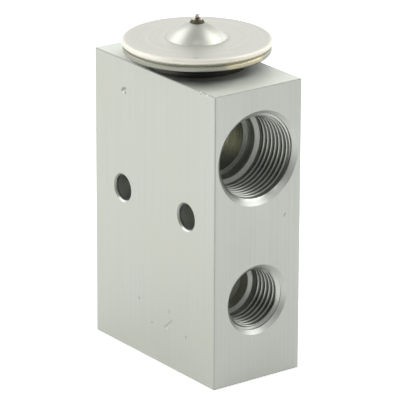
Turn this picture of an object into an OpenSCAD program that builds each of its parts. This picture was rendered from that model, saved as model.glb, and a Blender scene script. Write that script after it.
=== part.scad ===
// Block expansion valve: an aluminium block with four threaded ports and two fixing holes,
// a diaphragm head screwed into its top, and a ball valve with its spring and adjuster inside.
// The origin is the middle of the block's base. The two ports of the photographed face look
// towards -Y, the two fixing holes run along X, and every inner piece stands on the Z axis.

/* [Block] */
// Metal left beside the mouth of a suction port
side_wall = 1.0; // [0.6:0.1:6]
// Wall between two bores that pass each other
web = 1.4; // [1:0.1:4]
// Wall between a suction port's end and the head socket
socket_wall = 2.1; // [1.2:0.1:6]
// Metal between the suction bore and the head socket
socket_web = 1.4; // [0.8:0.1:4]
// Radius on the long upright edges
edge_r = 0.35; // [0.1:0.05:1.5]
// Bevel round the sawn top and bottom faces
end_bevel = 0.2; // [0.05:0.05:0.5]

/* [Threads and mouths] */
// Pitch of the port threads
thread_pitch = 1.5; // [0.75:0.25:2]
// Bevel at each port's mouth
mouth_bevel = 1.0; // [0.3:0.1:1.5]
// Fall of the sealing shoulder towards the middle of a port
shoulder_fall = 0.5; // [0:0.1:1]

/* [Suction ports] */
// Outside radius of the suction port thread
suction_thread_r = 11; // [9.5:0.25:14]
// Depth of the suction thread from the face
suction_thread_len = 12; // [6:0.5:16]
// Plain bore past the suction thread
suction_relief = 0.9; // [0.4:0.1:3]
// Width of the suction port's sealing shoulder
suction_shoulder = 1.1; // [0.4:0.1:1.6]
// Length of the pilot bore past the shoulder
suction_pilot_len = 3.1; // [1:0.1:5]
// Width of the step from the pilot bore to the through passage
suction_step = 1.15; // [0.3:0.05:1.5]

/* [Liquid ports] */
// Outside radius of the inlet port thread
inlet_thread_r = 8; // [7:0.25:10]
// Outside radius of the outlet port thread
outlet_thread_r = 9; // [8:0.25:11]
// Depth of a liquid port's thread from the face
liquid_thread_len = 9.8; // [5:0.1:12]
// Plain bore past a liquid port's thread
liquid_relief = 1.6; // [0.4:0.1:2.5]
// Width of a liquid port's sealing shoulder
liquid_shoulder = 1.1; // [0.4:0.1:1.6]
// Length of the pilot bore past the shoulder
liquid_pilot_len = 3.0; // [1:0.1:4]
// Radius of the drilling from the inlet port to the valve chamber
inlet_drill_r = 3; // [2:0.1:4]
// Radius of the drilling from the outlet chamber to its port
outlet_drill_r = 3.2; // [2.2:0.1:4]
// How far the outlet drilling lies above the middle of its port
outlet_rise = 2.6; // [0:0.1:3]
// Metal between the inlet drilling and the seat ring
inlet_wall = 1.0; // [0.5:0.1:3]
// Metal between the seat ring and the outlet drilling
outlet_wall = 0.2; // [0.1:0.1:2]
// Height of the outlet chamber over its drilling
chamber_end = 0.4; // [0.2:0.1:2]

/* [Fixing holes] */
// Radius of a fixing hole
fixing_r = 3.3; // [2:0.1:4.5]
// Distance between the two fixing holes
fixing_spacing = 26.6; // [20:0.2:34]
// Bevel at each mouth of a fixing hole
fixing_bevel = 0.4; // [0.1:0.1:1]

/* [Head] */
// Radius of the head's screw thread
socket_r = 10; // [8.5:0.25:10.5]
// Depth of the socket in the block's top
socket_depth = 7.3; // [5:0.1:12]
// Space left under the end of the head's neck
socket_floor_gap = 0.5; // [0.2:0.1:1.5]
// Radial wall of the threaded neck
neck_wall = 2.35; // [1:0.05:2.8]
// Radius of the passage from the socket to the suction bore
throat_r = 6.2; // [4.5:0.1:6.5]
// Radius of the collar that seats on the block
collar_r = 12.4; // [12.1:0.1:13]
// Thickness of the seating collar
collar_t = 1.2; // [0.6:0.1:3]
// Thickness of the lower cover's sheet
lower_sheet = 1.0; // [0.6:0.05:1.6]
// Radius of the head at its rim
rim_r = 18.5; // [17.5:0.1:24]
// Radius of the rounded edge of the upper cover
rim_round = 0.75; // [0.3:0.05:0.9]
// Depth of the groove left by the weld between the covers
weld_groove = 0.7; // [0.3:0.05:1]
// How far the lower cover's lip stands out past the weld
lip_out = 0.4; // [0.1:0.05:0.6]
// Height of the lower cover's lip
lip_h = 1.6; // [1.2:0.1:2]
// Radius on the lower edge of the lip
lip_round = 0.6; // [0.2:0.05:0.8]
// Width of the clamped border of the diaphragm
clamp_w = 2.5; // [1.5:0.1:2.8]
// Thickness of the upper cover's sheet
upper_sheet = 1.0; // [0.6:0.05:2]
// Height of the charge space over the diaphragm
charge_gap = 0.6; // [0.5:0.05:1.5]
// Height of the upper cover's undercut skirt over the diaphragm
rim_skirt = 0.6; // [0.3:0.05:0.7]
// Thickness of the diaphragm
diaphragm_t = 0.2; // [0.1:0.05:0.3]
// Rise and fall of the diaphragm's rings
wave_height = 0.2; // [0.05:0.05:0.2]
// Number of rings pressed into the diaphragm
wave_count = 2; // [1:1:4]
// Thickness of the cord of the seal under the collar
head_seal_d = 1.6; // [1:0.1:1.8]

/* [Charge cone] */
// Radius of the cone at its foot
cone_foot_r = 7.4; // [5:0.1:10]
// Radius of the cone at its lip
cone_lip_r = 1.75; // [1.5:0.05:2.5]
// Height of the cone over the cover
cone_h = 3.9; // [2:0.1:7]
// Radius of the blend at the cone's foot
cone_blend = 1.2; // [0.4:0.1:1.6]
// Thickness of the sheet where it is drawn up into the cone
cone_sheet = 0.85; // [0.5:0.05:0.95]
// Radius of the charge hole
charge_hole_r = 0.9; // [0.5:0.05:1.1]
// Radius of the ball that closes the charge hole
charge_ball_r = 1.25; // [1.15:0.05:2]

/* [Valve] */
// Opening stroke of the valve
stroke = 0.9; // [0.3:0.05:1.5]
// Space left under the diaphragm pad at full stroke
stop_gap = 0.1; // [0.05:0.05:0.5]
// Radius of the pad under the diaphragm
pad_r = 12; // [9:0.1:12.1]
// Thickness of the pad under the diaphragm
pad_t = 1.4; // [0.8:0.1:3]
// Radial wall of the hub under the pad
hub_wall = 2.2; // [1:0.1:2.6]
// Length of the hub under the pad
hub_h = 2.6; // [1.5:0.1:5]
// Radius of the sensing rod
sensing_r = 2.8; // [2:0.1:3.2]
// Radius of the push rod
push_r = 0.9; // [0.6:0.05:1.1]
// Length of the push rod held in the sensing rod
push_grip = 4; // [2:0.5:8]
// Radius of the valve ball
ball_r = 2.5; // [2.1:0.05:3]
// Width of the seat's contact band inside the ball's contact ring
seat_land = 0.17; // [0.05:0.01:0.25]
// Distance from the ball's middle up to the foot of the seat
seat_lead = 1.3; // [0.9:0.1:1.4]
// Thickness of the pressed seat ring
seat_t = 2.2; // [1.8:0.1:4]
// Radial wall of the seat ring
seat_wall = 2.6; // [1.5:0.1:2.8]
// Thickness of the ball cup's flange
cup_t = 1.9; // [1:0.1:3]
// Distance from the ball's middle down to the cup's rim
cup_drop = 1.2; // [0.9:0.1:1.4]
// Length of the spigot that centres the spring under the cup
cup_spigot = 2.2; // [1.2:0.1:3]
// Sheet thickness of the damper ring
damper_t = 0.3; // [0.15:0.05:0.5]
// Number of legs on the damper ring
damper_legs = 3; // [2:1:5]
// Width of a leg of the damper ring
leg_w = 2; // [1:0.1:3]
// Height of a leg of the damper ring
leg_h = 3.4; // [1.5:0.1:3.8]

/* [Rod seal] */
// Depth of the space round the sensing rod's foot
foot_depth = 3.1; // [1.5:0.1:5]
// Thickness of the rod seal's cord
rod_seal_d = 1.8; // [1.2:0.1:2]
// Height of the ring that holds the rod seal
retainer_h = 1.0; // [0.6:0.1:2]
// Sheet thickness of the ring that holds the rod seal
retainer_t = 0.35; // [0.2:0.05:0.5]

/* [Spring and adjuster] */
// Radius of the valve chamber
chamber_r = 5.6; // [5.4:0.1:6.4]
// Wire thickness of the spring
wire_d = 1.2; // [0.8:0.05:1.3]
// Mean radius of the spring's turns
coil_r = 3.6; // [3.4:0.05:3.9]
// Number of open turns of the spring
open_turns = 3; // [2:0.5:4]
// Share of the wire ground off at each end of the spring
ground_share = 0.3; // [0.1:0.05:0.4]
// Height of the spring as fitted
spring_h = 7.35; // [7:0.05:12]
// Radius of the adjusting screw's thread
screw_r = 6.5; // [6.2:0.1:7.5]
// Pitch of the adjusting screw
screw_pitch = 1; // [0.5:0.25:1.5]
// Length of the adjusting screw's thread
screw_thread_len = 6; // [3:0.5:10]
// Depth of the screw's face inside the base
screw_recess = 2; // [1.6:0.1:6]
// Plain bore left over the screw's thread
thread_runout = 0.5; // [0.2:0.1:1.5]
// Turns that the screw can move each way
screw_turns = 1; // [0.5:0.25:1]
// Width across the flats of the key socket
key_flats = 6; // [4:0.5:8]
// Depth of the key socket
key_depth = 5; // [2:0.5:7]
// Thickness of the adjuster seal's cord
screw_seal_d = 1.2; // [0.8:0.1:1.4]
// Metal between the seal's groove and the spring's pocket
groove_lip = 1.0; // [0.5:0.1:2]
// Depth of the pocket that holds the spring's foot
pocket_depth = 1.2; // [0.6:0.1:2]

/* [Hidden] */

// Smoothness of round faces
$fn = 64;
// Clearance of a piece that slides or turns in a bore
run_gap = 0.05;
// Clearance of pieces that seat on each other
seat_gap = 0.02;
// Clearance of pieces that pass each other without touching
free_gap = 0.3;
// Length by which a cut runs past the face it opens
over = 1;
// Half of the angle at a drill's point
drill_half_angle = 59;
// Sides of the key socket
key_sides = 6;
// Sides of the spring wire's section and steps in one of its turns
wire_sides = 8;
wire_steps = 20;
// Steps in one pressed ring of the diaphragm and in a rounded edge
wave_steps = 12;
round_steps = 8;

// Colours of the materials
alloy_tone = "#c3c5bf";
cover_tone = "#d4d4cc";
steel_tone = "#a9aaa6";
dark_steel_tone = "#6b625a";
brass_tone = "#c2a25a";
rubber_tone = "#26282a";

// Height of the engaged flank of a metric thread, for one millimetre of pitch
flank_share = 0.5413;
thread_h = flank_share * thread_pitch;

// Radii down a suction port
suction_bore_r = suction_thread_r - thread_h;
suction_pilot_r = suction_bore_r - suction_shoulder;
suction_way_r = suction_pilot_r - suction_step;
suction_bore_len = suction_thread_len + suction_relief;
suction_pilot_end = suction_bore_len + shoulder_fall + suction_pilot_len;

// Depths down a liquid port
liquid_bore_len = liquid_thread_len + liquid_relief;
liquid_pilot_end = liquid_bore_len + shoulder_fall + liquid_pilot_len;

// Plan of the block
block_w = 2 * (suction_thread_r + mouth_bevel + side_wall);
block_d = 2 * (suction_bore_len + socket_wall + socket_r);

// Heights of the adjuster, from the base up
screw_travel = screw_turns * screw_pitch;
screw_shoulder_z = screw_recess + screw_thread_len;
screw_bore_top = screw_shoulder_z + screw_travel + thread_runout;
groove_low = screw_bore_top + screw_travel + seat_gap;
groove_h = screw_seal_d + 2 * seat_gap;
pocket_floor = groove_low + groove_h + groove_lip;
plug_top = pocket_floor + pocket_depth;
plug_r = chamber_r - run_gap;
groove_r = chamber_r - screw_seal_d;
pocket_r = coil_r + wire_d / 2 + free_gap;
spigot_r = coil_r - wire_d / 2 - free_gap;

// Heights of the spring, cup, ball and seat
spring_top = pocket_floor + spring_h;
cup_low = spring_top + damper_t;
cup_top = cup_low + cup_t;
ball_z = cup_top + cup_drop;
cup_r = chamber_r - damper_t - 2 * free_gap;
orifice_r = ball_r / sqrt(2) - seat_land;
seat_low = ball_z + seat_lead;
seat_top = seat_low + seat_t;
seat_r = orifice_r + seat_wall;
cone_tip_z = ball_z + (ball_r + seat_gap) * sqrt(2);

// Heights of the ports and fixing holes, each a wall away from the last
inlet_z = seat_low - inlet_wall - inlet_drill_r;
outlet_drill_z = seat_top + outlet_wall + outlet_drill_r;
outlet_z = outlet_drill_z - outlet_rise;
fixing_z = outlet_z + outlet_thread_r + web + fixing_r;
suction_z = fixing_z + fixing_r + web + suction_thread_r;
socket_floor = suction_z + suction_pilot_r + socket_web;
block_h = socket_floor + socket_depth;
chamber_roof = outlet_drill_z + outlet_drill_r + chamber_end;

// Bores round the rods
way_floor = suction_z - suction_way_r;
foot_floor = way_floor - foot_depth;
seal_pocket_r = push_r + rod_seal_d;
seal_floor = foot_floor - rod_seal_d - retainer_h - seat_gap;
foot_r = max(sensing_r, seal_pocket_r) + free_gap;

// Heights of the head, from the block's top up
neck_low = socket_floor + socket_floor_gap;
neck_r = socket_r - run_gap;
neck_bore_r = socket_r - neck_wall;
cover_low = block_h + collar_t;
cover_floor = cover_low + lower_sheet;
pad_low = cover_floor + stroke + stop_gap;
pad_top = pad_low + pad_t;
clamp_z = pad_top + seat_gap;
cover_seat_z = clamp_z + diaphragm_t;
charge_roof = cover_seat_z + charge_gap;
cover_top = charge_roof + upper_sheet;
cone_top = cover_top + cone_h;
charge_ball_z = cone_top + sqrt(pow(charge_ball_r, 2) - pow(charge_hole_r, 2));
clamp_r = rim_r - clamp_w;
weld_r = rim_r - weld_groove;
lip_r = weld_r + lip_out;
recess_r = neck_r + head_seal_d + seat_gap;
recess_depth = head_seal_d + seat_gap;

// Sensing rod and its pad
hub_r = sensing_r + hub_wall;
hub_low = pad_low - hub_h;
sensing_top = pad_low;
sensing_low = foot_floor + stroke + free_gap;
push_top = sensing_low + push_grip;
push_low = ball_z + ball_r;

// A rectangle of the block's plan with rounded corners
module plan_outline() {
    for (side = [[block_w, block_d - 2 * edge_r], [block_w - 2 * edge_r, block_d]])
        square(side, center = true);
    for (x = [-1, 1], y = [-1, 1])
        translate([x * (block_w / 2 - edge_r), y * (block_d / 2 - edge_r)])
            circle(r = edge_r);
}

// A rectangle standing on the axis with its four corners bevelled
module end_outline(width) {
    half = width / 2;
    polygon([[-half + end_bevel, 0], [half - end_bevel, 0], [half, end_bevel],
             [half, block_h - end_bevel], [half - end_bevel, block_h],
             [-half + end_bevel, block_h], [-half, block_h - end_bevel], [-half, end_bevel]]);
}

// The sawn length of extruded bar, before it is bored
module block_blank() {
    intersection() {
        linear_extrude(block_h) plan_outline();
        translate([0, block_d, 0]) rotate([90, 0, 0])
            linear_extrude(2 * block_d) end_outline(block_w);
        translate([-block_w, 0, 0]) rotate([90, 0, 90])
            linear_extrude(2 * block_w) end_outline(block_d);
    }
}

// Points a cutter at the front face, at the given height, so that it bores towards +Y
module from_front(z) {
    translate([0, -block_d / 2, z]) rotate([-90, 0, 0]) children();
}

// Points a cutter at the back face, at the given height, so that it bores towards -Y
module from_back(z) {
    translate([0, block_d / 2, z]) rotate([90, 0, 0]) children();
}

// A round cut from a little before the start to the given depth
module bore(r, depth, start = 0) {
    translate([0, 0, start - over]) cylinder(r = r, h = depth - start + over);
}

// A bevelled mouth
module mouth(r, bevel) {
    translate([0, 0, -over]) cylinder(r1 = r + bevel + over, r2 = r, h = bevel + over);
}

// A threaded port: bevelled mouth, thread, plain bore, sloping shoulder and pilot bore
module port(thread_r, thread_len, bore_len, pilot_r, pilot_end) {
    bore_r = thread_r - thread_h;
    mouth(thread_r, mouth_bevel);
    bore(thread_r, thread_len);
    bore(bore_r, bore_len);
    translate([0, 0, bore_len]) cylinder(r1 = bore_r, r2 = pilot_r, h = shoulder_fall);
    bore(pilot_r, pilot_end);
}

// The cone that a drill leaves at the end of its bore, opening into a narrower drilling
module drill_end(r, depth, next_r) {
    translate([0, 0, depth])
        cylinder(r1 = r, r2 = next_r, h = (r - next_r) / tan(drill_half_angle));
}

module suction_cuts() {
    for (side = [0, 1])
        mirror([0, side, 0]) from_front(suction_z)
            port(suction_thread_r, suction_thread_len, suction_bore_len,
                 suction_pilot_r, suction_pilot_end);
    from_front(suction_z) bore(suction_way_r, block_d);
}

module inlet_cuts() {
    pilot_r = inlet_thread_r - thread_h - liquid_shoulder;
    from_front(inlet_z) {
        port(inlet_thread_r, liquid_thread_len, liquid_bore_len, pilot_r, liquid_pilot_end);
        drill_end(pilot_r, liquid_pilot_end, inlet_drill_r);
        bore(inlet_drill_r, block_d / 2);
    }
}

module outlet_cuts() {
    pilot_r = outlet_thread_r - thread_h - liquid_shoulder;
    from_back(outlet_z)
        port(outlet_thread_r, liquid_thread_len, liquid_bore_len, pilot_r, liquid_pilot_end);
    from_back(outlet_drill_z) bore(outlet_drill_r, block_d / 2);
}

module fixing_cuts() {
    for (y = [-1, 1], side = [0, 1])
        mirror([side, 0, 0]) translate([-block_w / 2, y * fixing_spacing / 2, fixing_z])
            rotate([0, 90, 0]) {
                mouth(fixing_r, fixing_bevel);
                bore(fixing_r, block_w / 2 + over);
            }
}

// Socket, seal recess and rod bores, cut from the block's top
module head_cuts() {
    translate([0, 0, block_h]) mirror([0, 0, 1]) {
        bore(socket_r, socket_depth);
        bore(recess_r, recess_depth);
        bore(throat_r, block_h - suction_z);
    }
    translate([0, 0, foot_floor]) cylinder(r = foot_r, h = suction_z - foot_floor);
    translate([0, 0, seal_floor]) cylinder(r = seal_pocket_r, h = suction_z - seal_floor);
    translate([0, 0, seat_top]) cylinder(r = push_r + run_gap, h = suction_z - seat_top);
}

// Adjuster bore, valve chamber, seat pocket and outlet chamber, cut from the base
module chamber_cuts() {
    mouth(screw_r, fixing_bevel);
    bore(screw_r, screw_bore_top);
    bore(chamber_r, seat_low);
    bore(seat_r, seat_top);
    bore(outlet_drill_r, chamber_roof);
}

module valve_body() {
    color(alloy_tone) difference() {
        block_blank();
        suction_cuts();
        inlet_cuts();
        outlet_cuts();
        fixing_cuts();
        head_cuts();
        chamber_cuts();
    }
}

// Points along an arc in a section, from one angle to another
function arc(middle, r, from, to) =
    [for (i = [0 : round_steps])
        let (turn = from + (to - from) * i / round_steps)
        middle + r * [cos(turn), sin(turn)]];

// Section of the upper cover: a clamping border, a rounded rim, a flat, and a cone of thinner
// sheet with a hole at its lip
module upper_cover_section() {
    slope = atan2(cone_h, cone_foot_r - cone_lip_r);
    drop = cone_sheet / cos(slope);
    lip_z = cone_top - cone_sheet;
    inner_foot = cone_foot_r - (drop - upper_sheet) / tan(slope);
    inner_lip = cone_lip_r - (drop - cone_sheet) / tan(slope);
    rim = [rim_r - rim_round, cover_top - rim_round];
    blend = [cone_foot_r + cone_blend * tan(slope / 2), cover_top + cone_blend];
    polygon(concat(
        [[charge_hole_r, lip_z], [inner_lip, lip_z], [inner_foot, charge_roof]],
        [[clamp_r, charge_roof], [clamp_r, cover_seat_z], [weld_r, cover_seat_z]],
        [[rim_r, cover_seat_z + rim_skirt]],
        arc(rim, rim_round, 0, 90),
        arc(blend, cone_blend, -90, -90 - slope),
        [[cone_lip_r, cone_top], [charge_hole_r, cone_top]]));
}

module upper_cover() {
    color(cover_tone) rotate_extrude() upper_cover_section();
}

module charge_ball() {
    color(dark_steel_tone) translate([0, 0, charge_ball_z]) sphere(r = charge_ball_r);
}

// Height of the diaphragm's under face at a radius: flat where the pad and the covers hold it
function wave_z(r) =
    let (start = pad_r + seat_gap, end = clamp_r - seat_gap)
    r <= start || r >= end ? clamp_z
        : clamp_z + wave_height * sin(360 * wave_count * (r - start) / (end - start));

// A thin disc with rings pressed into it, between the pad and the clamped border
module diaphragm() {
    steps = wave_steps * wave_count;
    radii = concat([0], [for (i = [0 : steps]) pad_r + (clamp_r - pad_r) * i / steps], [weld_r]);
    under = [for (r = radii) [r, wave_z(r)]];
    top = [for (i = [len(radii) - 1 : -1 : 0]) [radii[i], wave_z(radii[i]) + diaphragm_t]];
    color(steel_tone) rotate_extrude() polygon(concat(under, top));
}

// Section of the lower cover: a sheet floor, a sloping wall and a thicker lip for the weld
module lower_cover_section() {
    foot = pad_r + free_gap;
    tilt = atan2(clamp_z - cover_floor, clamp_r - foot);
    outer_foot = foot + lower_sheet * tan(tilt / 2);
    lip_low = clamp_z - lip_h;
    outer_lip = outer_foot + (lip_low - cover_low) / tan(tilt);
    lip = [lip_r - lip_round, lip_low + lip_round];
    polygon(concat(
        [[neck_bore_r, cover_low], [outer_foot, cover_low], [outer_lip, lip_low]],
        arc(lip, lip_round, -90, 0),
        [[lip_r, clamp_z - lip_out], [weld_r, clamp_z], [clamp_r, clamp_z]],
        [[foot, cover_floor], [neck_bore_r, cover_floor]]));
}

module lower_cover() {
    color(cover_tone) rotate_extrude() lower_cover_section();
}

// The turned neck that screws into the block, with the collar that seats on its top
module threaded_collar() {
    color(steel_tone) rotate_extrude()
        polygon([[neck_bore_r, neck_low], [neck_r - thread_h, neck_low],
                 [neck_r, neck_low + thread_h], [neck_r, block_h], [collar_r, block_h],
                 [collar_r, cover_low], [neck_bore_r, cover_low]]);
}

// A rubber ring of round section about the Z axis
module seal_ring(inner_r, cord_d, z) {
    translate([0, 0, z]) rotate_extrude() translate([inner_r + cord_d / 2, 0]) circle(d = cord_d);
}

module head_seal() {
    color(rubber_tone) seal_ring(neck_r + seat_gap / 2, head_seal_d, block_h - head_seal_d / 2);
}

// The pad that carries the diaphragm, with a hub that takes the top of the sensing rod
module support_pad() {
    color(brass_tone) rotate_extrude()
        polygon([[0, sensing_top], [sensing_r + seat_gap, sensing_top],
                 [sensing_r + seat_gap, hub_low], [hub_r, hub_low], [hub_r, pad_low],
                 [pad_r, pad_low], [pad_r, pad_top], [0, pad_top]]);
}

module sensing_rod() {
    color(alloy_tone) difference() {
        translate([0, 0, sensing_low]) cylinder(r = sensing_r, h = sensing_top - sensing_low);
        translate([0, 0, sensing_low - over])
            cylinder(r = push_r + seat_gap, h = push_grip + over);
    }
}

module push_rod() {
    color(steel_tone) translate([0, 0, push_low]) cylinder(r = push_r, h = push_top - push_low);
}

module rod_seal() {
    color(rubber_tone)
        seal_ring(push_r + seat_gap, rod_seal_d - 2 * seat_gap, seal_floor + rod_seal_d / 2);
}

// A sheet ring pressed into the pocket above the rod seal, with its outer wall turned up
module seal_retainer() {
    low = seal_floor + rod_seal_d + seat_gap;
    inner = push_r + free_gap;
    color(steel_tone) rotate_extrude()
        polygon([[inner, low], [seal_pocket_r, low], [seal_pocket_r, low + retainer_h],
                 [seal_pocket_r - retainer_t, low + retainer_h],
                 [seal_pocket_r - retainer_t, low + retainer_t], [inner, low + retainer_t]]);
}

// A ring with a cone that the ball closes on from below
module valve_seat() {
    color(steel_tone) rotate_extrude()
        polygon([[cone_tip_z - seat_low, seat_low], [seat_r, seat_low], [seat_r, seat_top],
                 [orifice_r, seat_top], [orifice_r, cone_tip_z - orifice_r]]);
}

module valve_ball() {
    color(steel_tone) translate([0, 0, ball_z]) sphere(r = ball_r);
}

// The holder under the ball: a flange with a cone for the ball and a spigot for the spring
module ball_cup() {
    tip = ball_z - ball_r * sqrt(2);
    color(brass_tone) rotate_extrude()
        polygon([[0, cup_low - cup_spigot], [spigot_r, cup_low - cup_spigot], [spigot_r, cup_low],
                 [cup_r, cup_low], [cup_r, cup_top], [cup_top - tip, cup_top], [0, tip]]);
}

// A thin washer under the cup whose legs stand up along the chamber's wall
module damper_ring() {
    leg_out = chamber_r - 2 * run_gap;
    leg_in = leg_out - damper_t;
    color(steel_tone) translate([0, 0, spring_top]) {
        difference() {
            cylinder(r = cup_r, h = damper_t);
            translate([0, 0, -over]) cylinder(r = spigot_r + run_gap, h = damper_t + 2 * over);
        }
        for (i = [0 : damper_legs - 1])
            rotate([0, 0, 90 + 360 * i / damper_legs]) {
                intersection() {
                    cylinder(r = leg_out, h = damper_t);
                    translate([cup_r - damper_t, -leg_w / 2, 0])
                        cube([chamber_r, leg_w, damper_t]);
                }
                intersection() {
                    difference() {
                        cylinder(r = leg_out, h = leg_h);
                        translate([0, 0, -over]) cylinder(r = leg_in, h = leg_h + 2 * over);
                    }
                    translate([0, -leg_w / 2, 0]) cube([chamber_r, leg_w, leg_h]);
                }
            }
    }
}

// Height of the wire's middle after some turns: a closed turn, the open turns, a closed turn
closed_rise = wire_d + seat_gap;
ground_off = ground_share * wire_d;
wire_start = pocket_floor + wire_d / 2 - ground_off;
wire_rise = spring_h - wire_d + 2 * ground_off;
open_rise = (wire_rise - 2 * closed_rise) / open_turns;
function wire_z(turn) =
    turn < 1 ? wire_start + closed_rise * turn
        : turn < 1 + open_turns ? wire_start + closed_rise + open_rise * (turn - 1)
        : wire_start + closed_rise + open_rise * open_turns
            + closed_rise * (turn - 1 - open_turns);

// The spring's wire swept round the axis, with its first and last turns closed and ground flat
module superheat_spring() {
    sides = wire_sides;
    steps = round((open_turns + 2) * wire_steps);
    low = pocket_floor;
    points = [for (i = [0 : steps], k = [0 : sides - 1])
        let (turn = i / wire_steps,
             around = 360 * turn,
             across = 360 * (k + 0.5) / sides,
             r = coil_r + wire_d / 2 * cos(across),
             z = wire_z(turn) + wire_d / 2 * sin(across))
        [r * cos(around), r * sin(around), max(low, min(spring_top, z))]];
    skin = [for (i = [0 : steps - 1], k = [0 : sides - 1], half = [0, 1])
        let (a = i * sides + k, b = i * sides + (k + 1) % sides)
        half == 0 ? [a, b, b + sides] : [a, b + sides, a + sides]];
    first = [[for (k = [sides - 1 : -1 : 0]) k]];
    last = [[for (k = [0 : sides - 1]) steps * sides + k]];
    color(steel_tone) polyhedron(points = points, faces = concat(skin, first, last));
}

// The screw that sets the spring: thread, sealed plug, key socket below and spring pocket above
module adjusting_screw() {
    key_r = key_flats / 2 / cos(180 / key_sides);
    color(brass_tone) difference() {
        union() {
            translate([0, 0, screw_recess])
                cylinder(r = screw_r - run_gap, h = screw_thread_len);
            translate([0, 0, screw_recess]) cylinder(r = plug_r, h = plug_top - screw_recess);
        }
        translate([0, 0, groove_low]) difference() {
            cylinder(r = screw_r, h = groove_h);
            cylinder(r = groove_r, h = groove_h);
        }
        translate([0, 0, screw_recess - over])
            cylinder(r = key_r, h = key_depth + over, $fn = key_sides);
        translate([0, 0, pocket_floor]) difference() {
            cylinder(r = pocket_r, h = pocket_depth + over);
            cylinder(r = spigot_r, h = pocket_depth);
        }
    }
}

module adjuster_seal() {
    cord = screw_seal_d - 2 * seat_gap;
    color(rubber_tone) seal_ring(groove_r + seat_gap, cord, groove_low + groove_h / 2);
}

valve_body();
upper_cover();
charge_ball();
diaphragm();
lower_cover();
threaded_collar();
head_seal();
support_pad();
sensing_rod();
push_rod();
rod_seal();
seal_retainer();
valve_seat();
valve_ball();
ball_cup();
damper_ring();
superheat_spring();
adjusting_screw();
adjuster_seal();
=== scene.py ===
import math

import bmesh
import bpy
from mathutils import Matrix, Vector


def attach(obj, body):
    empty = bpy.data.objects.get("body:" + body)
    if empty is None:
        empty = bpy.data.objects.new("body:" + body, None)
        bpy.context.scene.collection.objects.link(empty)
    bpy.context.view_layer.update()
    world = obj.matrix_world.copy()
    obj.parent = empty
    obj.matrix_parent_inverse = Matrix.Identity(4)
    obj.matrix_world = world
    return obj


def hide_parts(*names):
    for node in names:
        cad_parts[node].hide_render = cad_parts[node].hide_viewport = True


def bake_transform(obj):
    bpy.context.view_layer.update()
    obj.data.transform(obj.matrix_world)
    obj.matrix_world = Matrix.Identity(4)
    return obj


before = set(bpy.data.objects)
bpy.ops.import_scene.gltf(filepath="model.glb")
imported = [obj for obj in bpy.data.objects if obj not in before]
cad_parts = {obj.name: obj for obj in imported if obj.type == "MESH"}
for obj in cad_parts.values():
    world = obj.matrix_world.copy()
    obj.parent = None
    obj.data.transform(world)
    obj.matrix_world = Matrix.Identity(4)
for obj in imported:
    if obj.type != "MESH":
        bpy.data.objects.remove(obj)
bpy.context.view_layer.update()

MM = 0.001

# The bead of the rim's weld: its own radius, its distance from the axis, height and ripples
WELD_R = 0.3
WELD_REACH = 17.72
WELD_Z = 79.72
WELD_RIPPLES = 130

# The cone's crown: radius and height at its foot and lip, and how far it swells between them
CONE_FOOT = (7.25, 81.72)
CONE_LIP = (1.75, 85.33)
CONE_CROWN = 0.44
# Section of the weld at the foot of the ball, as radii and heights
BALL_FILLET = ((0.9, 86.2), (1.22, 86.12), (1.42, 85.93), (1.6, 85.7), (1.76, 85.45), (1.83, 85.26),
               (1.5, 85.1), (0.9, 85.2))

# Heights of the superheat spring's ground ends
SPRING_FOOT_Z = 12.76
SPRING_TOP_Z = 20.11

# The valve's sizes in millimetres, as in the part
BLOCK_W = 26.0
BLOCK_D = 50.0
BLOCK_H = 74.998
PITCH = 1.5
RIDGE_H = 0.812
MOUTH_BEVEL = 1.0
SUCTION_Z = 57.21
INLET_Z = 20.81
OUTLET_Z = 27.81
FIXING_Z = 41.51


def linear(value):
    """A screen grey from 0 to 255 as the linear value that a shader takes."""
    share = value / 255
    return share / 12.92 if share <= 0.04045 else ((share + 0.055) / 1.055) ** 2.4


def tone(red, green, blue):
    return (linear(red), linear(green), linear(blue), 1.0)


# The camera stands where the photographer's did
def add_camera():
    turn = math.radians(-36.3397)
    rise = math.radians(19.7081)
    roll = math.radians(0.1848)
    back = Vector((math.sin(turn) * math.cos(rise), -math.cos(turn) * math.cos(rise),
                   math.sin(rise)))
    right = (-back).cross(Vector((0, 0, 1))).normalized()
    up = right.cross(-back)
    level = right * math.cos(roll) + up * math.sin(roll)
    upright = up * math.cos(roll) - right * math.sin(roll)
    place = Vector((0, 0, 0.0375)) + back * 0.884347
    data = bpy.data.cameras.new("camera")
    data.sensor_fit = "HORIZONTAL"
    data.sensor_width = 36
    data.lens = 321.54
    data.shift_x = 0.00844
    data.shift_y = 0.01825
    data.clip_end = 20
    camera = bpy.data.objects.new("camera", data)
    camera.matrix_world = Matrix((
        (level.x, upright.x, back.x, place.x),
        (level.y, upright.y, back.y, place.y),
        (level.z, upright.z, back.z, place.z),
        (0, 0, 0, 1)))
    bpy.context.scene.collection.objects.link(camera)
    bpy.context.scene.camera = camera


def link_node(tree, kind, place=(0, 0), **settings):
    node = tree.nodes.new(kind)
    node.location = place
    for name, value in settings.items():
        setattr(node, name, value)
    return node


def new_effect(name, inputs, outputs):
    """A node group with named sockets: each input is (name, kind, value), each output (name, kind)."""
    tree = bpy.data.node_groups.new(name, "ShaderNodeTree")
    for title, kind, value in inputs:
        socket = tree.interface.new_socket(name=title, in_out="INPUT", socket_type=kind)
        socket.default_value = value
    for title, kind in outputs:
        tree.interface.new_socket(name=title, in_out="OUTPUT", socket_type=kind)
    source = link_node(tree, "NodeGroupInput", (-900, 0))
    sink = link_node(tree, "NodeGroupOutput", (900, 0))
    return tree, source, sink


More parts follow.
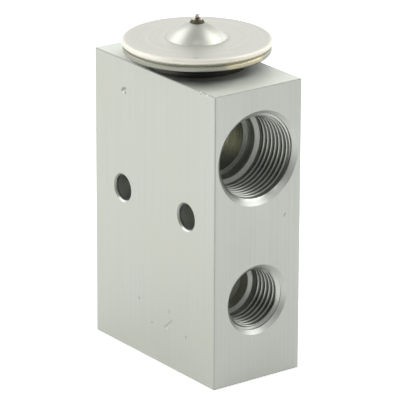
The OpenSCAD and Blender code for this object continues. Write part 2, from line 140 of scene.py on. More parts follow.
def streak_effect():
    """Long fine lines along Z, as an extrusion die leaves them, with slow cloudy changes of tone."""
    tree, source, sink = new_effect(
        "drawn_streaks",
        [("Across", "NodeSocketFloat", 1600.0), ("Along", "NodeSocketFloat", 9.0),
         ("Cloud", "NodeSocketFloat", 60.0)],
        [("Lines", "NodeSocketFloat"), ("Clouds", "NodeSocketFloat")])
    at = link_node(tree, "ShaderNodeTexCoord", (-900, 300))
    size = link_node(tree, "ShaderNodeCombineXYZ", (-700, 0))
    stretch = link_node(tree, "ShaderNodeVectorMath", (-500, 100), operation="MULTIPLY")
    fine = link_node(tree, "ShaderNodeTexNoise", (-300, 200))
    fine.inputs["Scale"].default_value = 1.0
    fine.inputs["Detail"].default_value = 3.0
    cloud = link_node(tree, "ShaderNodeTexNoise", (-300, -200))
    cloud.inputs["Detail"].default_value = 2.0
    tree.links.new(source.outputs["Across"], size.inputs["X"])
    tree.links.new(source.outputs["Across"], size.inputs["Y"])
    tree.links.new(source.outputs["Along"], size.inputs["Z"])
    tree.links.new(at.outputs["Object"], stretch.inputs[0])
    tree.links.new(size.outputs["Vector"], stretch.inputs[1])
    tree.links.new(stretch.outputs["Vector"], fine.inputs["Vector"])
    tree.links.new(at.outputs["Object"], cloud.inputs["Vector"])
    tree.links.new(source.outputs["Cloud"], cloud.inputs["Scale"])
    tree.links.new(fine.outputs["Fac"], sink.inputs["Lines"])
    tree.links.new(cloud.outputs["Fac"], sink.inputs["Clouds"])
    return tree


def turning_effect():
    """Fine rings about an axis that runs along Z through the origin, as a lathe leaves them."""
    tree, source, sink = new_effect(
        "lathe_rings",
        [("Rings", "NodeSocketFloat", 2500.0), ("Around", "NodeSocketFloat", 0.4)],
        [("Lines", "NodeSocketFloat"), ("Radius", "NodeSocketFloat")])
    at = link_node(tree, "ShaderNodeTexCoord", (-900, 300))
    split = link_node(tree, "ShaderNodeSeparateXYZ", (-700, 300))
    flat = link_node(tree, "ShaderNodeCombineXYZ", (-520, 300))
    reach = link_node(tree, "ShaderNodeVectorMath", (-340, 300), operation="LENGTH")
    rings = link_node(tree, "ShaderNodeMath", (-160, 300), operation="MULTIPLY")
    turn = link_node(tree, "ShaderNodeMath", (-340, 100), operation="ARCTAN2")
    around = link_node(tree, "ShaderNodeMath", (-160, 100), operation="MULTIPLY")
    place = link_node(tree, "ShaderNodeCombineXYZ", (20, 200))
    noise = link_node(tree, "ShaderNodeTexNoise", (200, 200))
    noise.inputs["Scale"].default_value = 1.0
    noise.inputs["Detail"].default_value = 4.0
    tree.links.new(at.outputs["Object"], split.inputs[0])
    tree.links.new(split.outputs["X"], flat.inputs["X"])
    tree.links.new(split.outputs["Y"], flat.inputs["Y"])
    tree.links.new(flat.outputs["Vector"], reach.inputs[0])
    tree.links.new(reach.outputs["Value"], rings.inputs[0])
    tree.links.new(source.outputs["Rings"], rings.inputs[1])
    tree.links.new(split.outputs["X"], turn.inputs[0])
    tree.links.new(split.outputs["Y"], turn.inputs[1])
    tree.links.new(turn.outputs["Value"], around.inputs[0])
    tree.links.new(source.outputs["Around"], around.inputs[1])
    tree.links.new(rings.outputs["Value"], place.inputs["X"])
    tree.links.new(around.outputs["Value"], place.inputs["Y"])
    tree.links.new(split.outputs["Z"], place.inputs["Z"])
    tree.links.new(place.outputs["Vector"], noise.inputs["Vector"])
    tree.links.new(noise.outputs["Fac"], sink.inputs["Lines"])
    tree.links.new(reach.outputs["Value"], sink.inputs["Radius"])
    return tree


def mark_effect():
    """A mark along a line from one point to another: 1 within its width and 0 outside, with an
    edge as soft and as ragged as its inputs say."""
    tree, source, sink = new_effect(
        "handling_mark",
        [("From", "NodeSocketVector", (0.0, 0.0, 0.0)), ("To", "NodeSocketVector", (0.0, 0.0, 0.0)),
         ("Width", "NodeSocketFloat", 0.0005), ("Soft", "NodeSocketFloat", 0.5),
         ("Ragged", "NodeSocketFloat", 0.0002)],
        [("Mask", "NodeSocketFloat")])
    links = tree.links
    at = link_node(tree, "ShaderNodeTexCoord", (-1100, 300))
    run = link_node(tree, "ShaderNodeVectorMath", (-900, 100), operation="SUBTRACT")
    off = link_node(tree, "ShaderNodeVectorMath", (-900, 300), operation="SUBTRACT")
    along = link_node(tree, "ShaderNodeVectorMath", (-700, 300), operation="DOT_PRODUCT")
    whole = link_node(tree, "ShaderNodeVectorMath", (-700, 100), operation="DOT_PRODUCT")
    share = link_node(tree, "ShaderNodeMath", (-500, 200), operation="DIVIDE", use_clamp=True)
    nearest = link_node(tree, "ShaderNodeVectorMath", (-300, 200), operation="SCALE")
    gap = link_node(tree, "ShaderNodeVectorMath", (-100, 200), operation="DISTANCE")
    rough = link_node(tree, "ShaderNodeTexNoise", (-500, -200))
    rough.inputs["Scale"].default_value = 2500.0
    wobble = link_node(tree, "ShaderNodeMath", (-300, -200), operation="MULTIPLY")
    total = link_node(tree, "ShaderNodeMath", (100, 100), operation="ADD")
    solid = link_node(tree, "ShaderNodeMath", (-100, -100), operation="SUBTRACT")
    solid.inputs[0].default_value = 1.0
    core = link_node(tree, "ShaderNodeMath", (100, -100), operation="MULTIPLY")
    fade = link_node(tree, "ShaderNodeMapRange", (400, 100))
    fade.inputs["To Min"].default_value = 1.0
    fade.inputs["To Max"].default_value = 0.0
    links.new(source.outputs["To"], run.inputs[0])
    links.new(source.outputs["From"], run.inputs[1])
    links.new(at.outputs["Object"], off.inputs[0])
    links.new(source.outputs["From"], off.inputs[1])
    links.new(off.outputs["Vector"], along.inputs[0])
    links.new(run.outputs["Vector"], along.inputs[1])
    links.new(run.outputs["Vector"], whole.inputs[0])
    links.new(run.outputs["Vector"], whole.inputs[1])
    links.new(along.outputs["Value"], share.inputs[0])
    links.new(whole.outputs["Value"], share.inputs[1])
    links.new(run.outputs["Vector"], nearest.inputs[0])
    links.new(share.outputs["Value"], nearest.inputs["Scale"])
    links.new(off.outputs["Vector"], gap.inputs[0])
    links.new(nearest.outputs["Vector"], gap.inputs[1])
    links.new(at.outputs["Object"], rough.inputs["Vector"])
    links.new(rough.outputs["Fac"], wobble.inputs[0])
    links.new(source.outputs["Ragged"], wobble.inputs[1])
    links.new(gap.outputs["Value"], total.inputs[0])
    links.new(wobble.outputs["Value"], total.inputs[1])
    links.new(source.outputs["Soft"], solid.inputs[1])
    links.new(source.outputs["Width"], core.inputs[0])
    links.new(solid.outputs["Value"], core.inputs[1])
    links.new(total.outputs["Value"], fade.inputs["Value"])
    links.new(core.outputs["Value"], fade.inputs["From Min"])
    links.new(source.outputs["Width"], fade.inputs["From Max"])
    links.new(fade.outputs["Result"], sink.inputs["Mask"])
    return tree


def skin_effect():
    """Where a point lies on the block: on an outer face, on a bevelled mouth, on the top face, or
    close to an outer edge, and how deep it is from the narrow faces."""
    tree, source, sink = new_effect("outer_skin", [], [
        ("Skin", "NodeSocketFloat"), ("Mouth", "NodeSocketFloat"), ("Top", "NodeSocketFloat"),
        ("Edge", "NodeSocketFloat"), ("Depth", "NodeSocketFloat")])
    links = tree.links
    at = link_node(tree, "ShaderNodeTexCoord", (-1100, 300))
    centred = link_node(tree, "ShaderNodeVectorMath", (-900, 300), operation="SUBTRACT")
    centred.inputs[1].default_value = (0, 0, BLOCK_H / 2 * MM)
    sizes = link_node(tree, "ShaderNodeVectorMath", (-700, 300), operation="ABSOLUTE")
    gaps = link_node(tree, "ShaderNodeVectorMath", (-500, 300), operation="SUBTRACT")
    gaps.inputs[0].default_value = (BLOCK_W / 2 * MM, BLOCK_D / 2 * MM, BLOCK_H / 2 * MM)
    split = link_node(tree, "ShaderNodeSeparateXYZ", (-300, 300))
    near = link_node(tree, "ShaderNodeMath", (-100, 400), operation="MINIMUM")
    far = link_node(tree, "ShaderNodeMath", (-100, 200), operation="MAXIMUM")
    least = link_node(tree, "ShaderNodeMath", (100, 400), operation="MINIMUM")
    lower = link_node(tree, "ShaderNodeMath", (100, 200), operation="MINIMUM")
    second = link_node(tree, "ShaderNodeMath", (300, 200), operation="MAXIMUM")
    skin = link_node(tree, "ShaderNodeMath", (500, 400), operation="LESS_THAN")
    skin.inputs[1].default_value = 0.00001
    mouth = link_node(tree, "ShaderNodeMath", (500, 200), operation="LESS_THAN")
    mouth.inputs[1].default_value = 0.00104
    edge = link_node(tree, "ShaderNodeMapRange", (500, 0))
    edge.inputs["From Min"].default_value = 0.00045
    edge.inputs["From Max"].default_value = 0.00022
    height = link_node(tree, "ShaderNodeSeparateXYZ", (-500, -100))
    top = link_node(tree, "ShaderNodeMath", (-300, -100), operation="GREATER_THAN")
    top.inputs[1].default_value = (BLOCK_H / 2 - 0.01) * MM
    links.new(at.outputs["Object"], centred.inputs[0])
    links.new(centred.outputs["Vector"], sizes.inputs[0])
    links.new(sizes.outputs["Vector"], gaps.inputs[1])
    links.new(gaps.outputs["Vector"], split.inputs[0])
    for node in (near, far):
        links.new(split.outputs["X"], node.inputs[0])
        links.new(split.outputs["Y"], node.inputs[1])
    links.new(near.outputs["Value"], least.inputs[0])
    links.new(split.outputs["Z"], least.inputs[1])
    links.new(far.outputs["Value"], lower.inputs[0])
    links.new(split.outputs["Z"], lower.inputs[1])
    links.new(near.outputs["Value"], second.inputs[0])
    links.new(lower.outputs["Value"], second.inputs[1])
    links.new(least.outputs["Value"], skin.inputs[0])
    links.new(least.outputs["Value"], mouth.inputs[0])
    links.new(second.outputs["Value"], edge.inputs["Value"])
    links.new(centred.outputs["Vector"], height.inputs[0])
    links.new(height.outputs["Z"], top.inputs[0])
    links.new(skin.outputs["Value"], sink.inputs["Skin"])
    links.new(mouth.outputs["Value"], sink.inputs["Mouth"])
    links.new(top.outputs["Value"], sink.inputs["Top"])
    links.new(edge.outputs["Result"], sink.inputs["Edge"])
    links.new(split.outputs["Y"], sink.inputs["Depth"])
    return tree


def thread_effect():
    """How far a point of a thread in a port along Y stands from its root: 0 at the root and 1 at
    the crest."""
    tree, source, sink = new_effect(
        "thread_height",
        [("Axis Height", "NodeSocketFloat", 0.05), ("Root", "NodeSocketFloat", 0.011),
         ("Crest", "NodeSocketFloat", 0.0102)],
        [("Share", "NodeSocketFloat")])
    links = tree.links
    at = link_node(tree, "ShaderNodeTexCoord", (-900, 300))
    split = link_node(tree, "ShaderNodeSeparateXYZ", (-700, 300))
    rise = link_node(tree, "ShaderNodeMath", (-500, 200), operation="SUBTRACT")
    flat = link_node(tree, "ShaderNodeCombineXYZ", (-300, 300))
    reach = link_node(tree, "ShaderNodeVectorMath", (-100, 300), operation="LENGTH")
    share = link_node(tree, "ShaderNodeMapRange", (200, 200))
    links.new(at.outputs["Object"], split.inputs[0])
    links.new(split.outputs["Z"], rise.inputs[0])
    links.new(source.outputs["Axis Height"], rise.inputs[1])
    links.new(split.outputs["X"], flat.inputs["X"])
    links.new(rise.outputs["Value"], flat.inputs["Y"])
    links.new(flat.outputs["Vector"], reach.inputs[0])
    links.new(reach.outputs["Value"], share.inputs["Value"])
    links.new(source.outputs["Root"], share.inputs["From Min"])
    links.new(source.outputs["Crest"], share.inputs["From Max"])
    links.new(share.outputs["Result"], sink.inputs["Share"])
    return tree


STREAKS = streak_effect()
SKIN = skin_effect()
RINGS = turning_effect()
MARK = mark_effect()
THREAD = thread_effect()


def place_effect(material, effect, place=(-900, 0), **values):
    node = material.node_tree.nodes.new("ShaderNodeGroup")
    node.node_tree = effect
    node.location = place
    for name, value in values.items():
        node.inputs[name].default_value = value
    return node


def new_material(name, metallic, roughness):
    material = bpy.data.materials.new(name)
    material.use_nodes = True
    shader = material.node_tree.nodes["Principled BSDF"]
    shader.inputs["Metallic"].default_value = metallic
    shader.inputs["Roughness"].default_value = roughness
    return material, shader


def tone_between(material, factor, low, high, place=(-500, 200)):
    """A colour that runs from low to high with a factor socket."""
    blend = material.node_tree.nodes.new("ShaderNodeMix")
    blend.data_type = "RGBA"
    blend.location = place
    for title, value in (("A", low), ("B", high)):
        if isinstance(value, tuple):
            blend.inputs[title].default_value = value
        else:
            material.node_tree.links.new(value, blend.inputs[title])
    material.node_tree.links.new(factor, blend.inputs["Factor"])
    return blend.outputs["Result"]


def ranged(material, factor, low, high, to_low, to_high, place=(-500, -200)):
    node = material.node_tree.nodes.new("ShaderNodeMapRange")
    node.location = place
    node.inputs["From Min"].default_value = low
    node.inputs["From Max"].default_value = high
    node.inputs["To Min"].default_value = to_low
    node.inputs["To Max"].default_value = to_high
    material.node_tree.links.new(factor, node.inputs["Value"])
    return node.outputs["Result"]


def banded(material, value, edges):
    """A factor that is 1 between two edges of a value and 0 outside, with a soft change."""
    low, high, soft = edges
    rise = ranged(material, value, low, low + soft, 0.0, 1.0)
    fall = ranged(material, value, high, high + soft, 1.0, 0.0)
    both = material.node_tree.nodes.new("ShaderNodeMath")
    both.operation = "MULTIPLY"
    material.node_tree.links.new(rise, both.inputs[0])
    material.node_tree.links.new(fall, both.inputs[1])
    return both.outputs["Value"]


def bumped(material, shader, height, strength, distance):
    bump = material.node_tree.nodes.new("ShaderNodeBump")
    bump.inputs["Strength"].default_value = strength
    bump.inputs["Distance"].default_value = distance
    bump.location = (-300, -400)
    material.node_tree.links.new(height, bump.inputs["Height"])
    material.node_tree.links.new(bump.outputs["Normal"], shader.inputs["Normal"])
    return bump


def marked(material, marks):
    """The strongest of several marks, each given as its two ends, width, softness and raggedness
    in millimetres."""
    total = None
    for place, (begin, end, width, soft, ragged) in enumerate(marks):
        mark = place_effect(material, MARK, (-1400, 400 - 220 * place), From=scaled(begin),
                            To=scaled(end), Width=width * MM, Soft=soft, Ragged=ragged * MM)
        if total is None:
            total = mark.outputs["Mask"]
            continue
        most = material.node_tree.nodes.new("ShaderNodeMath")
        most.operation = "MAXIMUM"
        most.location = (-1150, 400 - 220 * place)
        material.node_tree.links.new(total, most.inputs[0])
        material.node_tree.links.new(mark.outputs["Mask"], most.inputs[1])
        total = most.outputs["Value"]
    return total


def scaled(point):
    return tuple(part * MM for part in point)


# Small nicks and scratches that the block got in handling
BLOCK_MARKS = [
    ((-13, 13.3, 67.05), (-13, 12.9, 67.25), 0.72, 0.6, 0.3),
    ((-13, 12.9, 67.5), (-13, 11.95, 67.75), 0.62, 0.6, 0.3),
    ((-13, 12.1, 66.75), (-13, 12.05, 66.6), 0.66, 0.6, 0.3),
    ((-13, -19.12, 74.5), (-13, -19.12, 74.4), 0.36, 0.6, 0.1),
    ((-13, -4.52, 10.22), (-13, -7.68, 12.82), 0.42, 0.9, 0.3),
    ((-13, -6.37, 15.26), (-13, -6.37, 14.42), 0.4, 0.9, 0.3),
    ((-13, 0.87, 9.72), (-13, 0.9, 9.6), 0.36, 0.5, 0.15),
    ((-13, -13.45, 10.08), (-13, -13.3, 10.5), 0.34, 0.5, 0.15),
    ((-13, 6.42, 14.63), (-13, 6.3, 14.3), 0.34, 0.5, 0.15),
    ((7.99, -25, 40.84), (8.4, -25, 41.5), 0.28, 0.5, 0.12),
    ((-13, -25, 66.0), (-13, -25, 68.2), 0.4, 0.9, 0.4),
    ((-13, -25, 30.5), (-13, -25, 31.6), 0.4, 0.9, 0.4),
    ((-13, -25, 17.0), (-13, -25, 17.6), 0.42, 0.9, 0.4),
]
# Painted highlights where dents catch the light, on the upper edge, beside the nick and beside a scratch
BLOCK_DENT_GLINTS = [
    ((-13, -19.04, 74.98), (-13, -19.3, 74.98), 0.5, 0.5, 0.2),
    ((-13, -21.8, 74.75), (-13, -21.9, 74.8), 0.36, 0.5, 0.1),
    ((-13, 12.7, 66.6), (-13, 12.8, 66.5), 0.45, 0.7, 0.1),
    ((-13, -5.6, 10.1), (-13, -5.7, 10.15), 0.3, 0.8, 0.1),
]
# The parts of the fixing holes' bevels that catch the light
BEVEL_GLINTS = [((-13, side + 1.0, FIXING_Z - 3.5), (-13, side - 1.2, FIXING_Z - 3.5), 1.3, 0.5, 0.0)
                for side in (-13.3, 13.3)]
# Painted shadow of the head: a darker patch on the sawn top
HEAD_SHADE = [((-8.5, -13.5, 75), (-9.5, -3.5, 75), 8.5, 1.0, 0.0)]
# The bores past the sealing shoulders, the suction passage and the two fixing holes
SUCTION_WAY = [((0, -9.63, SUCTION_Z), (0, 9.63, SUCTION_Z), 9.3, 0.02, 0.0)]
LIQUID_WAYS = [((0, -12.1, INLET_Z), (0, -2, INLET_Z), 6.4, 0.02, 0.0),
               ((0, 12.1, OUTLET_Z), (0, 2, OUTLET_Z), 7.4, 0.02, 0.0)]
PASSAGE = [((0, -6.5, SUCTION_Z), (0, 6.5, SUCTION_Z), 8.1, 0.02, 0.0)]
# The lower wall of the suction passage, which no light reaches
PASSAGE_SHADE = [((4.4, -7.0, SUCTION_Z - 6.8), (4.4, 8.0, SUCTION_Z - 6.8), 4.6, 0.7, 0.0)]
FIXING_WAYS = [((-13, side, FIXING_Z), (13, side, FIXING_Z), 4.4, 0.05, 0.0)
               for side in (-13.3, 13.3)]


def block_alloy():
    material, shader = new_material("block_alloy", 1.0, 0.42)
    links = material.node_tree.links
    streaks = place_effect(material, STREAKS)
    skin = place_effect(material, SKIN, (-900, 400))
    marks = marked(material, BLOCK_MARKS)
    lines = ranged(material, streaks.outputs["Lines"], 0.25, 0.75, 0.0, 1.0)
    step = banded(material, skin.outputs["Depth"], (0.01645, 0.01655, 0.00002))
    narrow = ranged(material, skin.outputs["Depth"], 0.00001, 0.00002, 1.0, 0.0)
    clouds = ranged(material, streaks.outputs["Clouds"], 0.35, 0.65, 0.0, 1.0)
    wide = tone_between(material, lines, tone(189, 193, 185), tone(197, 200, 193))
    wide = tone_between(material, clouds, wide, tone(197, 199, 189))
    # The narrow faces painted a little darker than the wide ones: painted shade
    ends = tone_between(material, lines, tone(185, 188, 181), tone(190, 194, 187))
    outer = tone_between(material, narrow, wide, ends)
    inner = tone_between(material, lines, tone(192, 196, 188), tone(204, 208, 200), (-500, 500))
    fixing = marked(material, FIXING_WAYS)
    # The suction bore past its shoulder painted darker: painted shade deep in the port
    inner = tone_between(material, marked(material, SUCTION_WAY), inner, tone(134, 138, 130))
    drilled = marked(material, LIQUID_WAYS)
    inner = tone_between(material, drilled, inner, tone(200, 202, 192))
    inner = tone_between(material, fixing, inner, tone(202, 206, 199))
    reamed = tone_between(material, lines, tone(132, 134, 106), tone(188, 190, 156), (-500, 700))
    inner = tone_between(material, marked(material, PASSAGE), inner, reamed)
    inner = tone_between(material, marked(material, PASSAGE_SHADE), inner, tone(114, 116, 104))
    # A painted highlight on the sealing shoulder's step
    inner = tone_between(material, step, inner, tone(240, 242, 236))
    # The fixing holes' bevels: painted shade on most of them and a painted highlight along their lower
    # part
    glints = marked(material, BEVEL_GLINTS)
    rounded = tone_between(material, glints, tone(158, 160, 155), tone(216, 219, 213))
    bevel = tone_between(material, fixing, tone(196, 199, 192), rounded)
    edges = tone_between(material, skin.outputs["Mouth"], inner, bevel, (-250, 500))
    # The sawn top's own tone, darkened by the head's painted shadow
    sawn_top_and_shadow = tone_between(material, marked(material, HEAD_SHADE), tone(232, 237, 226), tone(150, 160, 150))
    faces = tone_between(material, skin.outputs["Top"], outer, sawn_top_and_shadow, (-250, 100))
    colour = tone_between(material, skin.outputs["Skin"], edges, faces, (-200, 300))
    # The outer edges painted a darker grey than the top face: painted shade that dims the highlight on
    # their bevel
    colour = tone_between(material, skin.outputs["Edge"], colour, tone(192, 195, 188), (-150, 300))
    colour = tone_between(material, marks, colour, tone(146, 148, 141), (-100, 300))
    # Painted highlights of the dents
    colour = tone_between(material, marked(material, BLOCK_DENT_GLINTS), colour, tone(226, 229, 223))
    links.new(colour, shader.inputs["Base Color"])
    rough = ranged(material, streaks.outputs["Clouds"], 0.3, 0.7, 0.40, 0.5, (-700, -350))
    worn = link_node(material.node_tree, "ShaderNodeMath", (-450, -350), operation="MAXIMUM")
    links.new(rough, worn.inputs[0])
    links.new(ranged(material, skin.outputs["Edge"], 0.0, 1.0, 0.0, 0.75), worn.inputs[1])
    rougher = link_node(material.node_tree, "ShaderNodeMath", (-250, -350), operation="MAXIMUM")
    links.new(worn.outputs["Value"], rougher.inputs[0])
    links.new(ranged(material, drilled, 0.0, 1.0, 0.0, 0.8), rougher.inputs[1])
    links.new(rougher.outputs["Value"], shader.inputs["Roughness"])
    metal = ranged(material, skin.outputs["Top"], 0.0, 1.0, 1.0, 0.3, (-500, -550))
    links.new(metal, shader.inputs["Metallic"])
    bumped(material, shader, streaks.outputs["Lines"], 0.1, 0.00002)
    return material


def thread_alloy(name, z, root_r):
    """A cut thread: bright along its crest, with painted shade darkening its flanks and root."""
    material, shader = new_material(name, 1.0, 0.32)
    height = place_effect(material, THREAD, **{"Axis Height": z * MM, "Root": root_r * MM,
                                              "Crest": (root_r - RIDGE_H) * MM})
    skin = place_effect(material, SKIN, (-900, 400))
    rise = ranged(material, height.outputs["Share"], 0.7, 1.0, 0.0, 1.0)
    cut = ranged(material, skin.outputs["Depth"], 0.0018, 0.00184, 1.0, 0.0)
    # Painted shade on the flanks and root, bright along the crest
    colour = tone_between(material, rise, tone(90, 95, 88), tone(212, 215, 207))
    colour = tone_between(material, cut, colour, tone(194, 197, 190))
    material.node_tree.links.new(colour, shader.inputs["Base Color"])
    return material


# Heat from the rim's weld, and a small dash on the upper cover
HEAT = [((-3.2, -17.9, 79.2), (6.4, -17.0, 79.4), 3.0, 0.7, 2.6)]
COVER_MARKS = [((-10.5, -13.2, 81.42), (-9.8, -13.5, 81.42), 0.22, 0.4, 0.1)]


def upper_steel():
    """The upper cover: turned rings on its flat, and round its rim a roll painted a bright cream with
    little metal shine, a painted highlight.
    """
    material, shader = new_material("upper_cover_steel", 1.0, 0.33)
    links = material.node_tree.links
    rings = place_effect(material, RINGS)
    lines = ranged(material, rings.outputs["Lines"], 0.3, 0.7, 0.0, 1.0)
    roll = ranged(material, rings.outputs["Radius"], 0.0176, 0.0179, 0.0, 1.0)
    crease = banded(material, rings.outputs["Radius"], (0.0076, 0.00785, 0.0002))
    heat = marked(material, HEAT)
    colour = tone_between(material, lines, tone(220, 220, 212), tone(230, 230, 222))
    # The cone painted darker than the flat: painted shade
    cone = ranged(material, rings.outputs["Radius"], 0.0074, 0.0080, 1.0, 0.0)
    colour = tone_between(material, cone, colour, tone(200, 201, 192))
    # Painted shade in the crease at the cone's foot
    colour = tone_between(material, crease, colour, tone(204, 204, 195))
    colour = tone_between(material, marked(material, COVER_MARKS), colour, tone(120, 120, 114))
    # Painted highlight: the roll painted a bright cream and given little metal shine
    colour = tone_between(material, roll, colour, tone(236, 233, 220))
    colour = tone_between(material, heat, colour, tone(216, 206, 176))
    links.new(colour, shader.inputs["Base Color"])
    links.new(ranged(material, roll, 0.0, 1.0, 1.0, 0.35), shader.inputs["Metallic"])
    links.new(ranged(material, cone, 0.0, 1.0, 0.44, 0.42), shader.inputs["Roughness"])
    bumped(material, shader, rings.outputs["Lines"], 0.2, 0.00003)
    return material


def lower_steel():
    """The lower cover: a grey lip and a darker weld groove, both painted shade, and underneath a
    near-black skin of painted shade.
    """
    material, shader = new_material("lower_cover_steel", 1.0, 0.4)
    links = material.node_tree.links
    rings = place_effect(material, RINGS)
    at = link_node(material.node_tree, "ShaderNodeTexCoord", (-1100, 500))
    split = link_node(material.node_tree, "ShaderNodeSeparateXYZ", (-900, 500))
    links.new(at.outputs["Object"], split.inputs[0])
    lip = ranged(material, split.outputs["Z"], 0.07815, 0.0785, 0.0, 1.0)
    groove = ranged(material, rings.outputs["Radius"], 0.0179, 0.0181, 1.0, 0.0)
    lines = ranged(material, rings.outputs["Lines"], 0.3, 0.7, 0.0, 1.0)
    # The lip and the groove painted grey and darker grey: painted shade
    bright = tone_between(material, lines, tone(146, 147, 136), tone(164, 165, 154))
    bright = tone_between(material, groove, bright, tone(128, 127, 114))
    bright = tone_between(material, marked(material, HEAT), bright, tone(212, 202, 170))
    # The underside painted near black: painted shade under the head
    under = tone_between(material, lines, tone(28, 28, 25), tone(40, 40, 36))
    links.new(tone_between(material, lip, under, bright), shader.inputs["Base Color"])
    bumped(material, shader, rings.outputs["Lines"], 0.2, 0.00003)
    return material


# Darker brown on the front of the ball: partly heat tint from the torch, partly painted shade
BALL_BURN_AND_SHADE = [((-0.66, -0.90, 86.45), (-0.7, -0.95, 85.9), 1.15, 0.7, 0.2)]


def ball_steel():
    """The ball that closes the head: bright, and darker brown in front, partly heat tint and partly
    painted shade.
    """
    material, shader = new_material("ball_steel", 1.0, 0.28)
    grain = place_effect(material, STREAKS, Across=900.0, Along=900.0)
    colour = tone_between(material, grain.outputs["Lines"], tone(206, 204, 194), tone(226, 224, 214))
    colour = tone_between(material, marked(material, BALL_BURN_AND_SHADE), colour, tone(104, 90, 70))
    material.node_tree.links.new(colour, shader.inputs["Base Color"])
    return material


def weld_steel():
    """The rim's weld: dull steel, browner where the torch lingered."""
    material, shader = new_material("weld_bead", 1.0, 0.42)
    rings = place_effect(material, RINGS, Rings=1500.0, Around=60.0)
    colour = tone_between(material, rings.outputs["Lines"], tone(112, 112, 98), tone(168, 168, 152))
    colour = tone_between(material, marked(material, HEAT), colour, tone(176, 160, 124))
    material.node_tree.links.new(colour, shader.inputs["Base Color"])
    return material


def turned_metal(name, dark, light, roughness):
    material, shader = new_material(name, 1.0, roughness)
    rings = place_effect(material, RINGS, Rings=3000.0)
    colour = tone_between(material, rings.outputs["Lines"], dark, light)
    material.node_tree.links.new(colour, shader.inputs["Base Color"])
    bumped(material, shader, rings.outputs["Lines"], 0.15, 0.00003)
    return material


def seal_rubber():
    material, shader = new_material("seal_rubber", 0.0, 0.5)
    streaks = place_effect(material, STREAKS, Across=1500.0, Along=1500.0)
    colour = tone_between(material, streaks.outputs["Lines"], tone(28, 30, 31), tone(46, 49, 50))
    material.node_tree.links.new(colour, shader.inputs["Base Color"])
    return material


ALLOY = block_alloy()
UPPER = upper_steel()
LOWER = lower_steel()
WELD = weld_steel()
TURNED = turned_metal("turned_steel", tone(168, 168, 164), tone(196, 196, 192), 0.3)
# The collar painted near black: painted shade under the head
COLLAR = turned_metal("collar_steel", tone(58, 57, 52), tone(82, 80, 74), 0.35)
BALL = ball_steel()
BURNT = turned_metal("burnt_weld", tone(60, 56, 46), tone(108, 102, 86), 0.5)
SPRING = turned_metal("spring_steel", tone(150, 150, 148), tone(182, 182, 180), 0.25)
BRASS = turned_metal("brass", tone(206, 178, 118), tone(226, 202, 146), 0.3)
ROD = turned_metal("rod_alloy", tone(186, 186, 180), tone(206, 206, 200), 0.3)
RUBBER = seal_rubber()

FINISHES = {
    "valve_body": ALLOY, "upper_cover": UPPER, "lower_cover": LOWER, "charge_ball": BALL,
    "diaphragm": TURNED, "threaded_collar": COLLAR, "head_seal": RUBBER, "support_pad": BRASS,
    "sensing_rod": ROD, "push_rod": TURNED, "rod_seal": RUBBER, "seal_retainer": TURNED,
    "valve_seat": TURNED, "valve_ball": TURNED, "ball_cup": BRASS, "damper_ring": TURNED,
    "superheat_spring": SPRING, "adjusting_screw": BRASS, "adjuster_seal": RUBBER,
}


def finish_nodes():
    for name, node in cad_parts.items():
        for index in range(len(node.data.materials)):
            node.data.materials[index] = FINISHES[name]


def new_piece(name, bm, material):
    mesh = bpy.data.meshes.new(name)
    bm.to_mesh(mesh)
    bm.free()
    mesh.materials.append(material)
    piece = bpy.data.objects.new(name, mesh)
    bpy.context.scene.collection.objects.link(piece)
    return piece


def add_piece(name, bm, material, body):
    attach(new_piece(name, bm, material), body)


def spring_half(name, upper):
    """Half of the superheat spring, cut from the part's own coil at its middle height."""
    bm = bmesh.new()
    bm.from_mesh(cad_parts["superheat_spring"].data)
    bmesh.ops.remove_doubles(bm, verts=bm.verts[:], dist=0.0000001)
    middle = (0, 0, (SPRING_FOOT_Z + SPRING_TOP_Z) / 2 * MM)
    cut = bmesh.ops.bisect_plane(bm, geom=[*bm.verts, *bm.edges, *bm.faces], dist=0.0000001,
                                 plane_co=middle, plane_no=(0, 0, 1),
                                 clear_inner=upper, clear_outer=not upper)
    open_edges = [part for part in cut["geom_cut"] if isinstance(part, bmesh.types.BMEdge)]
    bmesh.ops.holes_fill(bm, edges=open_edges)
    bmesh.ops.recalc_face_normals(bm, faces=bm.faces[:])
    for face in bm.faces:
        face.smooth = True
    for edge in bm.edges:
        edge.smooth = edge.calc_face_angle(0) < 0.7
    half = new_piece(name, bm, SPRING)
    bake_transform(half)
    return half


